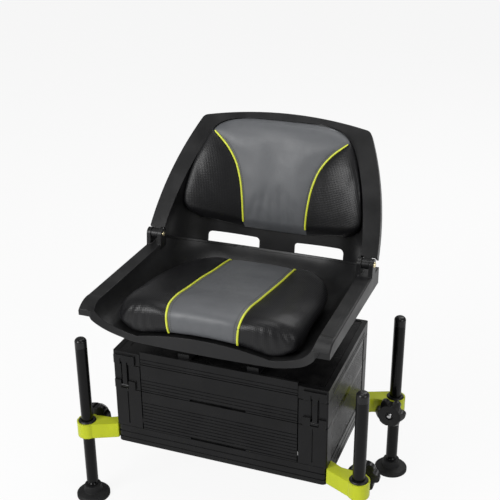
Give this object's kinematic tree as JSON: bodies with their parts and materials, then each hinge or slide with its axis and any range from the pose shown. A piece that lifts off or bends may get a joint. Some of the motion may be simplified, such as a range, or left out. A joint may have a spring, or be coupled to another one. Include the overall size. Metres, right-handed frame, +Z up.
{
  "type": "fishing seat box",
  "caption": "Fishing seat box: drawer box on clamped adjustable legs, with a hinged lid that carries a swivelling padded bucket seat and a fold-down backrest.",
  "frame": {"origin": "on the ground, at the centre of the whole footprint", "axes": "+Z up, the angler faces -Y, the angler's right is +X"},
  "size_m": [0.663, 0.5202, 0.7709],
  "materials": {
    "alloy_black": "satin black powder coat on aluminium extrusions",
    "casting_black": "fine-grained black moulded corners",
    "arm_lime": "gloss lime green paint on aluminium castings",
    "leg_black": "satin black anodised aluminium tube",
    "cap_black": "smooth black plug",
    "collar_black": "plain black bush",
    "knob_black": "moulded black knob on a steel stud",
    "foot_black": "black rubbery foot",
    "tray_black": "thin moulded tray",
    "hinge_black": "black painted leaves",
    "pin_steel": "plain steel rod",
    "pin_brass": "dull yellow metal pin",
    "strap_black": "black painted steel strip",
    "swivel_plate": "black pressed steel",
    "bearing_ring": "slippery ball ring",
    "shell_black": "grained black moulding",
    "vinyl": "black and grey coated fabric over foam, lime piping",
    "latch_black": "black moulded link"
  },
  "bodies": {
    "box": {"base_frame": "alloy_black", "clamp_arm_front_left": "arm_lime", "clamp_arm_front_right": "arm_lime", "clamp_arm_back_left": "arm_lime", "clamp_arm_back_right": "arm_lime", "clamp_collars": "collar_black", "lower_unit_left_wall": "alloy_black", "lower_unit_right_wall": "alloy_black", "lower_unit_back_wall": "alloy_black", "upper_unit_left_wall": "alloy_black", "upper_unit_right_wall": "alloy_black", "upper_unit_back_wall": "alloy_black", "lower_unit_front_left_corner": "casting_black", "lower_unit_front_right_corner": "casting_black", "lower_unit_back_left_corner": "casting_black", "lower_unit_back_right_corner": "casting_black", "upper_unit_front_left_corner": "casting_black", "upper_unit_front_right_corner": "casting_black", "upper_unit_back_left_corner": "casting_black", "upper_unit_back_right_corner": "casting_black", "lid_hinge_lower_leaves": "hinge_black", "lid_hinge_rods": "pin_steel"},
    "lid": {"lid_frame": "casting_black", "lid_front_panel": "alloy_black", "lid_plate": "alloy_black", "lid_hinge_upper_leaves": "hinge_black", "mount_straps": "strap_black", "swivel_base_plate": "swivel_plate", "swivel_bearing_ring": "bearing_ring", "swivel_rivet": "pin_steel"},
    "seat": {"swivel_top_plate": "swivel_plate", "seat_shell": "shell_black", "seat_cushion": "vinyl", "backrest_pins": "pin_brass"},
    "backrest": {"backrest_shell": "shell_black", "backrest_cushion": "vinyl"},
    "upper_drawer": {"upper_drawer_tray": "tray_black", "upper_drawer_front": "alloy_black"},
    "lower_drawer": {"lower_drawer_tray": "tray_black", "lower_drawer_front": "alloy_black"},
    "latch_left_link": {"latch_left": "latch_black"},
    "latch_right_link": {"latch_right": "latch_black"},
    "leg_front_left_tube": {"leg_front_left": "leg_black", "leg_cap_front_left": "cap_black"},
    "foot_front_left_pad": {"foot_front_left": "foot_black"},
    "knob_front_left_clamp": {"clamp_knob_front_left": "knob_black"},
    "leg_front_right_tube": {"leg_front_right": "leg_black", "leg_cap_front_right": "cap_black"},
    "foot_front_right_pad": {"foot_front_right": "foot_black"},
    "knob_front_right_clamp": {"clamp_knob_front_right": "knob_black"},
    "leg_back_left_tube": {"leg_back_left": "leg_black", "leg_cap_back_left": "cap_black"},
    "foot_back_left_pad": {"foot_back_left": "foot_black"},
    "knob_back_left_clamp": {"clamp_knob_back_left": "knob_black"},
    "leg_back_right_tube": {"leg_back_right": "leg_black", "leg_cap_back_right": "cap_black"},
    "foot_back_right_pad": {"foot_back_right": "foot_black"},
    "knob_back_right_clamp": {"clamp_knob_back_right": "knob_black"}
  },
  "joints": [
    {"name": "lid_hinge", "type": "hinge", "parent": "box", "child": "lid", "pos_m": [0, 0.1261, 0.342], "axis": [-1, 0, 0], "range_deg": [0, 85]},
    {"name": "seat_swivel", "type": "hinge", "parent": "lid", "child": "seat", "pos_m": [0, -0.0276, 0.38], "axis": [0, 0, 1], "continuous": true},
    {"name": "backrest_fold", "type": "hinge", "parent": "seat", "child": "backrest", "pos_m": [0, 0.0554, 0.534], "axis": [1, 0, 0], "range_deg": [0, 118]},
    {"name": "upper_drawer_slide", "type": "slide", "parent": "box", "child": "upper_drawer", "axis": [0, -1, 0], "range_m": [0, 0.22]},
    {"name": "lower_drawer_slide", "type": "slide", "parent": "box", "child": "lower_drawer", "axis": [0, -1, 0], "range_m": [0, 0.22]},
    {"name": "latch_left_swing", "type": "hinge", "parent": "box", "child": "latch_left_link", "pos_m": [-0.2025, -0.1776, 0.293], "axis": [1, 0, 0], "range_deg": [0, 90]},
    {"name": "latch_right_swing", "type": "hinge", "parent": "box", "child": "latch_right_link", "pos_m": [0.2025, -0.1776, 0.293], "axis": [1, 0, 0], "range_deg": [0, 90]},
    {"name": "leg_front_left_height", "type": "slide", "parent": "box", "child": "leg_front_left_tube", "axis": [0, 0, 1], "range_m": [-0.17, 0.105]},
    {"name": "foot_front_left_tilt", "type": "hinge", "parent": "leg_front_left_tube", "child": "foot_front_left_pad", "pos_m": [-0.2955, -0.1861, 0.024], "axis": [1, 0, 0], "range_deg": [-20, 20]},
    {"name": "knob_front_left_turn", "type": "hinge", "parent": "box", "child": "knob_front_left_clamp", "pos_m": [-0.2955, -0.1861, 0.175], "axis": [0, 1, 0], "continuous": true},
    {"name": "leg_front_right_height", "type": "slide", "parent": "box", "child": "leg_front_right_tube", "axis": [0, 0, 1], "range_m": [-0.17, 0.105]},
    {"name": "foot_front_right_tilt", "type": "hinge", "parent": "leg_front_right_tube", "child": "foot_front_right_pad", "pos_m": [0.2955, -0.1861, 0.024], "axis": [1, 0, 0], "range_deg": [-20, 20]},
    {"name": "knob_front_right_turn", "type": "hinge", "parent": "box", "child": "knob_front_right_clamp", "pos_m": [0.2955, -0.1861, 0.175], "axis": [0, 1, 0], "continuous": true},
    {"name": "leg_back_left_height", "type": "slide", "parent": "box", "child": "leg_back_left_tube", "axis": [0, 0, 1], "range_m": [-0.17, 0.105]},
    {"name": "foot_back_left_tilt", "type": "hinge", "parent": "leg_back_left_tube", "child": "foot_back_left_pad", "pos_m": [-0.2955, 0.1264, 0.024], "axis": [1, 0, 0], "range_deg": [-20, 20]},
    {"name": "knob_back_left_turn", "type": "hinge", "parent": "box", "child": "knob_back_left_clamp", "pos_m": [-0.2955, 0.1264, 0.175], "axis": [0, -1, 0], "continuous": true},
    {"name": "leg_back_right_height", "type": "slide", "parent": "box", "child": "leg_back_right_tube", "axis": [0, 0, 1], "range_m": [-0.17, 0.105]},
    {"name": "foot_back_right_tilt", "type": "hinge", "parent": "leg_back_right_tube", "child": "foot_back_right_pad", "pos_m": [0.2955, 0.1264, 0.024], "axis": [1, 0, 0], "range_deg": [-20, 20]},
    {"name": "knob_back_right_turn", "type": "hinge", "parent": "box", "child": "knob_back_right_clamp", "pos_m": [0.2955, 0.1264, 0.175], "axis": [0, -1, 0], "continuous": true}
  ]
}
